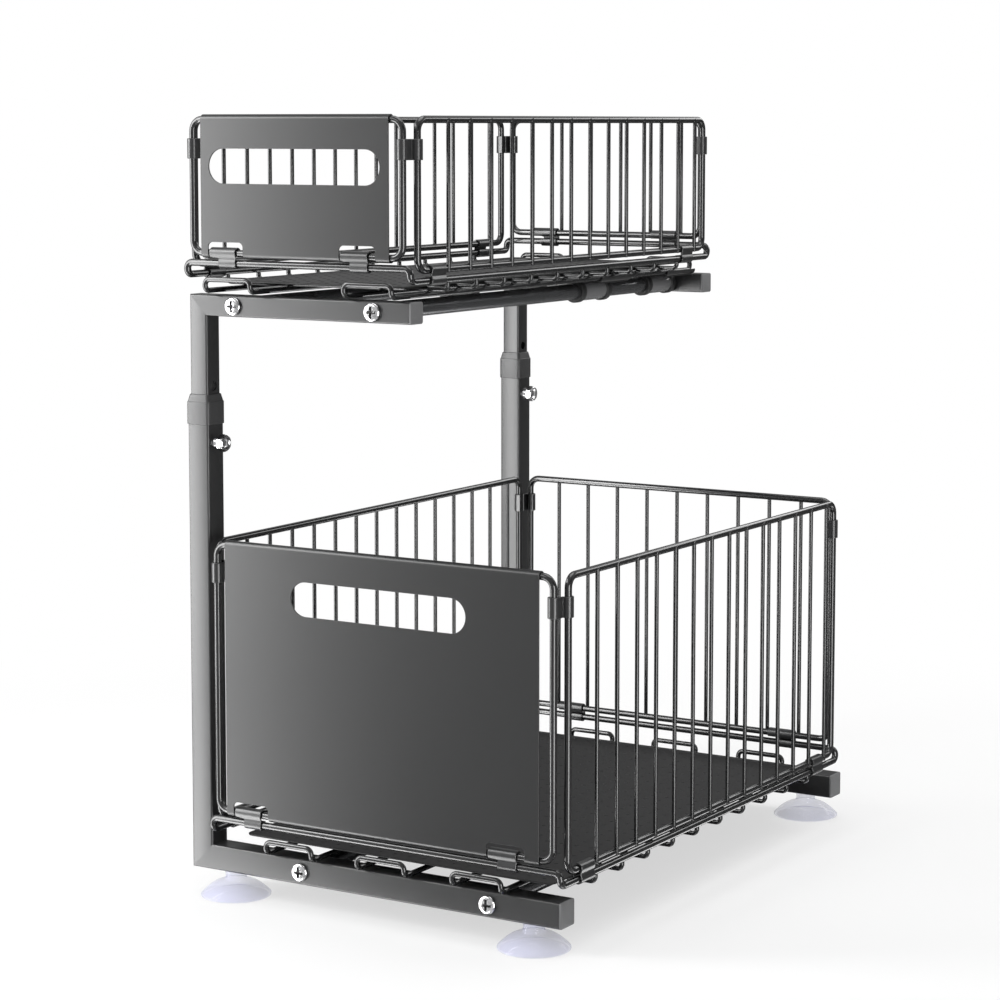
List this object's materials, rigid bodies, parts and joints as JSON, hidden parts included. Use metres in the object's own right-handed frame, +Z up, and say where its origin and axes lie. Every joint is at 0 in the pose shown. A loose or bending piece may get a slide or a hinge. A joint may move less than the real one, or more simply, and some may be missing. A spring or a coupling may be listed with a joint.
{
  "type": "pull-out cabinet basket",
  "caption": "Two-tier under-shelf rack: a height-adjustable square-tube frame on suction feet, with sliding wire baskets that have sheet-metal fronts with handle slots.",
  "frame": {"origin": "under the middle of the whole rack, in the plane of the suction cups' rims", "axes": "+X right seen from the front, away from the posts; +Y back, away from the basket fronts; +Z up"},
  "size_m": [0.3156, 0.472, 0.5545],
  "materials": {
    "tube_coat": "satin grey powder coat on square tube",
    "cap_plastic": "matt grey moulded plastic",
    "plate_coat": "smooth satin gunmetal coat on sheet",
    "wire_coat": "glossy dark grey coat on wire",
    "clip_coat": "semi-gloss dark grey coat on spring steel",
    "black_plastic": "matt black plastic",
    "bright_steel": "bright plated steel",
    "soft_pvc": "clear soft plastic with a faint blue tint"
  },
  "bodies": {
    "base_frame": {"base_front_arm": "tube_coat", "base_rear_arm": "tube_coat", "outer_front_post": "tube_coat", "outer_rear_post": "tube_coat", "front_collar": "cap_plastic", "rear_collar": "cap_plastic", "base_end_caps": "cap_plastic", "lock_bosses": "bright_steel", "base_rod_screws": "bright_steel", "base_left_rod": "wire_coat", "base_right_rod": "wire_coat", "cup_front_left": "soft_pvc", "cup_front_right": "soft_pvc", "cup_rear_left": "soft_pvc", "cup_rear_right": "soft_pvc"},
    "front_lock_bolt": {"front_lock_bolt": "bright_steel"},
    "rear_lock_bolt": {"rear_lock_bolt": "bright_steel"},
    "height_frame": {"inner_front_post": "tube_coat", "inner_rear_post": "tube_coat", "top_front_arm": "tube_coat", "top_rear_arm": "tube_coat", "top_end_caps": "cap_plastic", "top_left_rod": "wire_coat", "top_right_rod": "wire_coat", "top_rod_screws": "bright_steel"},
    "lower_basket": {"lower_base_ring": "wire_coat", "lower_floor_rails": "wire_coat", "lower_cross_wires": "wire_coat", "lower_left_panel": "wire_coat", "lower_right_panel": "wire_coat", "lower_floor_mat": "black_plastic", "lower_front_hinges": "clip_coat", "lower_rear_hinges": "clip_coat", "lower_side_hinges": "clip_coat", "lower_corner_clips": "clip_coat", "lower_left_bearings": "black_plastic", "lower_right_bearings": "black_plastic"},
    "lower_front_panel": {"lower_front_ring": "wire_coat", "lower_front_plate": "plate_coat"},
    "lower_rear_panel": {"lower_rear_panel": "wire_coat"},
    "upper_basket": {"upper_base_ring": "wire_coat", "upper_floor_rails": "wire_coat", "upper_cross_wires": "wire_coat", "upper_left_panel": "wire_coat", "upper_right_panel": "wire_coat", "upper_floor_mat": "black_plastic", "upper_front_hinges": "clip_coat", "upper_rear_hinges": "clip_coat", "upper_side_hinges": "clip_coat", "upper_corner_clips": "clip_coat", "upper_left_bearings": "black_plastic", "upper_right_bearings": "black_plastic"},
    "upper_front_panel": {"upper_front_ring": "wire_coat", "upper_front_plate": "plate_coat"},
    "upper_rear_panel": {"upper_rear_panel": "wire_coat"}
  },
  "joints": [
    {"name": "lower_basket_slide", "type": "slide", "parent": "base_frame", "child": "lower_basket", "axis": [0, -1, 0], "range_m": [0, 0.25]},
    {"name": "height_adjust", "type": "slide", "parent": "base_frame", "child": "height_frame", "axis": [0, 0, 1], "range_m": [-0.04, 0.08]},
    {"name": "upper_basket_slide", "type": "slide", "parent": "height_frame", "child": "upper_basket", "axis": [0, -1, 0], "range_m": [0, 0.25]},
    {"name": "front_lock_bolt_out", "type": "slide", "parent": "base_frame", "child": "front_lock_bolt", "axis": [1, 0, 0], "range_m": [0, 0.005]},
    {"name": "rear_lock_bolt_out", "type": "slide", "parent": "base_frame", "child": "rear_lock_bolt", "axis": [1, 0, 0], "range_m": [0, 0.005]},
    {"name": "lower_front_panel_fold", "type": "hinge", "parent": "lower_basket", "child": "lower_front_panel", "pos_m": [0, -0.229, 0.066], "axis": [-1, 0, 0], "range_deg": [0, 90]},
    {"name": "lower_rear_panel_fold", "type": "hinge", "parent": "lower_basket", "child": "lower_rear_panel", "pos_m": [0, 0.198, 0.066], "axis": [1, 0, 0], "range_deg": [0, 90]},
    {"name": "upper_front_panel_fold", "type": "hinge", "parent": "upper_basket", "child": "upper_front_panel", "pos_m": [0, -0.229, 0.459], "axis": [-1, 0, 0], "range_deg": [0, 90]},
    {"name": "upper_rear_panel_fold", "type": "hinge", "parent": "upper_basket", "child": "upper_rear_panel", "pos_m": [0, 0.198, 0.459], "axis": [1, 0, 0], "range_deg": [0, 90]}
  ]
}
